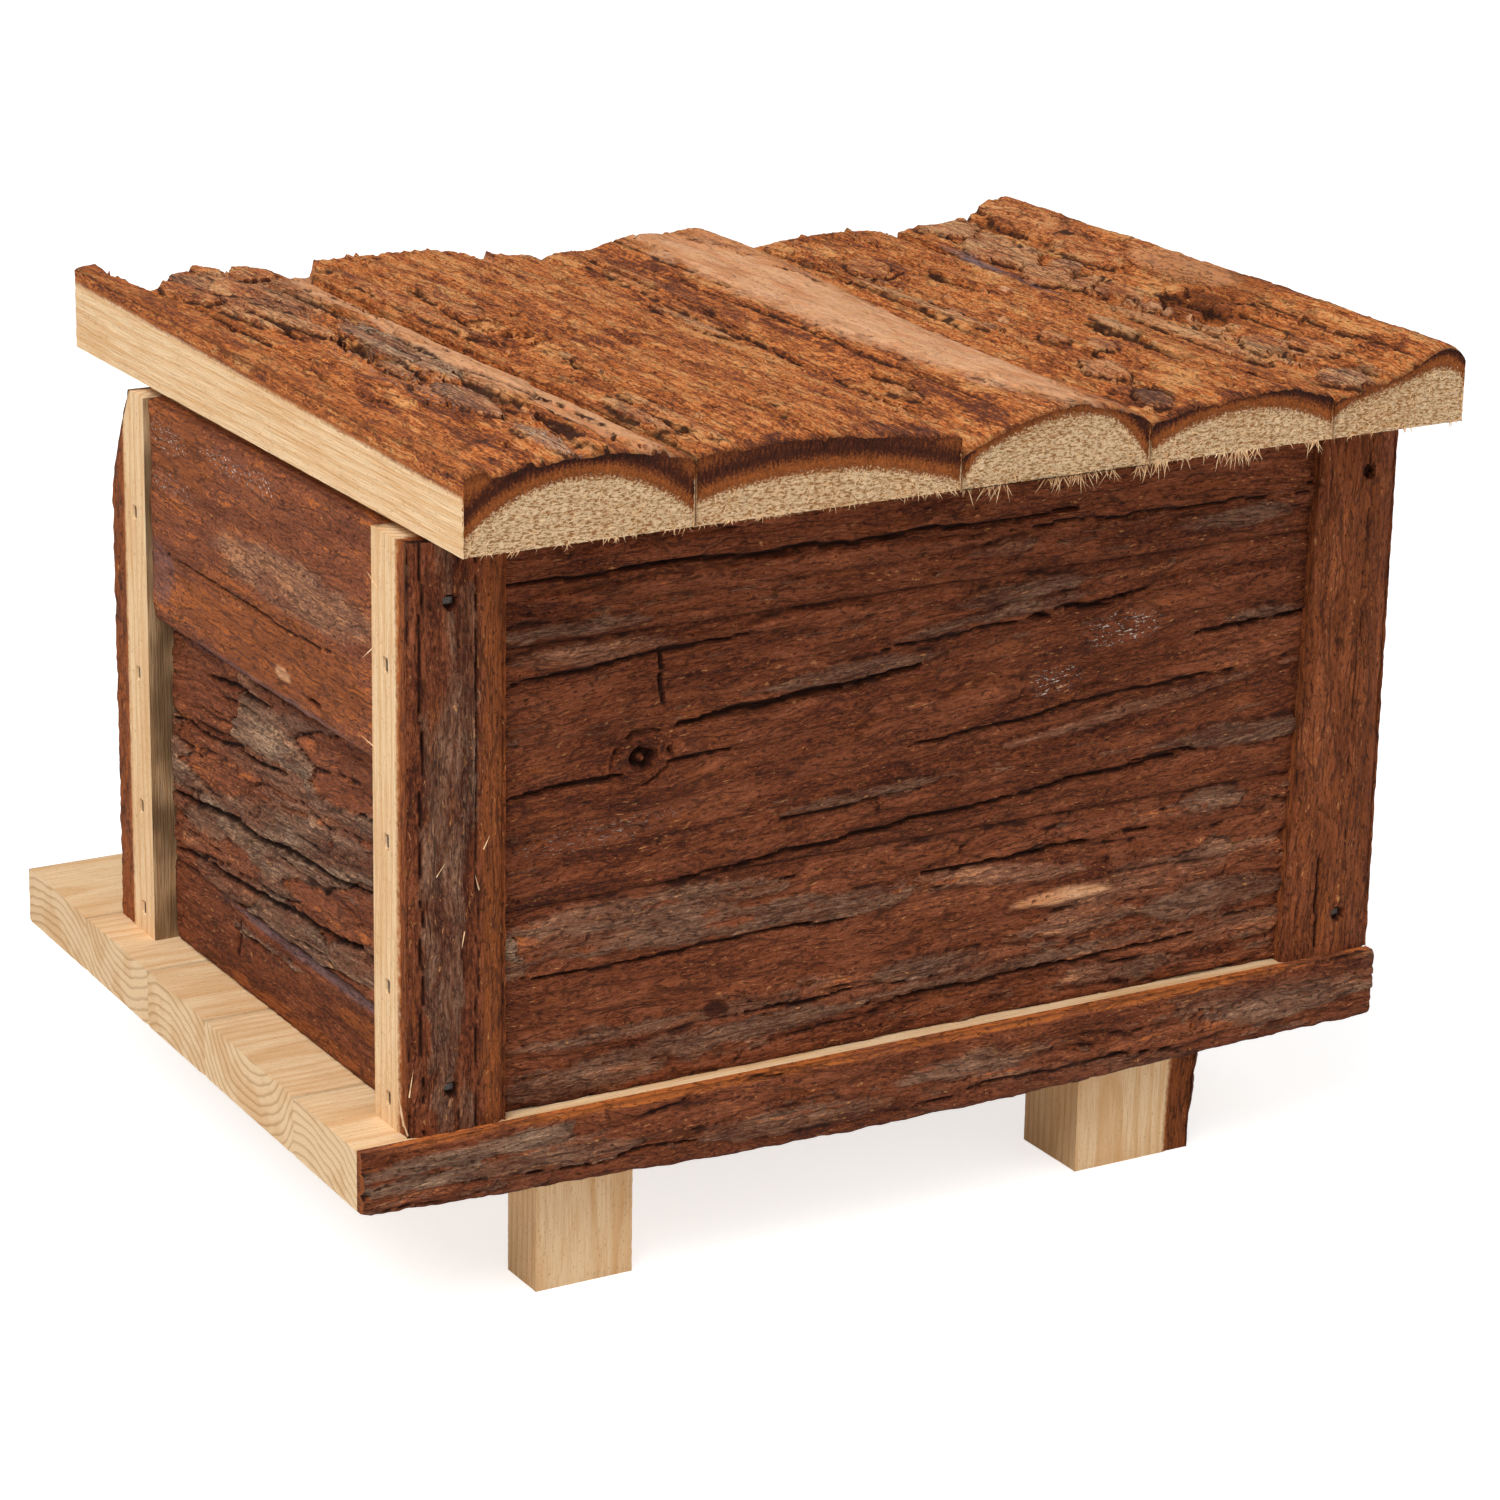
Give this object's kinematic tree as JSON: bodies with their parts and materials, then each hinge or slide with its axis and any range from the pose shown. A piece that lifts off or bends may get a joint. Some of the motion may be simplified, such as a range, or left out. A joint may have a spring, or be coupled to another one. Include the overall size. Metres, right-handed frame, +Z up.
{
  "type": "small animal house",
  "caption": "Small animal house of bark-edged boards, with corner posts, a nailed roof of bark slabs, an arched doorway onto a porch, and feet.",
  "frame": {"origin": "middle of the overall box, on the ground under the feet", "axes": "+Z up, the doorway and porch face -Y, +X to the right seen from the doorway side"},
  "size_m": [0.2424, 0.1986, 0.1822],
  "materials": {
    "wall_bark": "rough dry bark over sawn pine",
    "roof_bark": "flaky larch bark over sawn wood",
    "sawn_wood": "sawn, unfinished",
    "brad_steel": "dull bright steel"
  },
  "bodies": {
    "root": {"back_wall_lower": "wall_bark", "back_wall_middle": "wall_bark", "back_wall_upper": "wall_bark", "front_wall_lower_left": "wall_bark", "front_wall_lower_right": "wall_bark", "front_wall_middle": "wall_bark", "front_wall_upper": "wall_bark", "right_wall_lower": "wall_bark", "right_wall_middle": "wall_bark", "right_wall_upper": "wall_bark", "left_wall_lower": "wall_bark", "left_wall_middle": "wall_bark", "left_wall_upper": "wall_bark", "post_back_right": "wall_bark", "post_back_left": "wall_bark", "post_front_right": "wall_bark", "post_front_left": "wall_bark", "roof_slab_1": "roof_bark", "roof_slab_2": "roof_bark", "roof_slab_3": "roof_bark", "roof_slab_4": "roof_bark", "roof_slab_5": "roof_bark", "floor_board_1": "sawn_wood", "floor_board_2": "sawn_wood", "floor_board_3": "sawn_wood", "floor_board_4": "sawn_wood", "floor_board_5": "sawn_wood", "foot_back_right": "sawn_wood", "foot_back_left": "sawn_wood", "foot_front_right": "sawn_wood", "foot_front_left": "sawn_wood", "post_side_brads": "brad_steel", "post_face_brads": "brad_steel", "roof_brads": "brad_steel", "floor_brads": "brad_steel", "foot_brads": "brad_steel"}
  },
  "joints": []
}
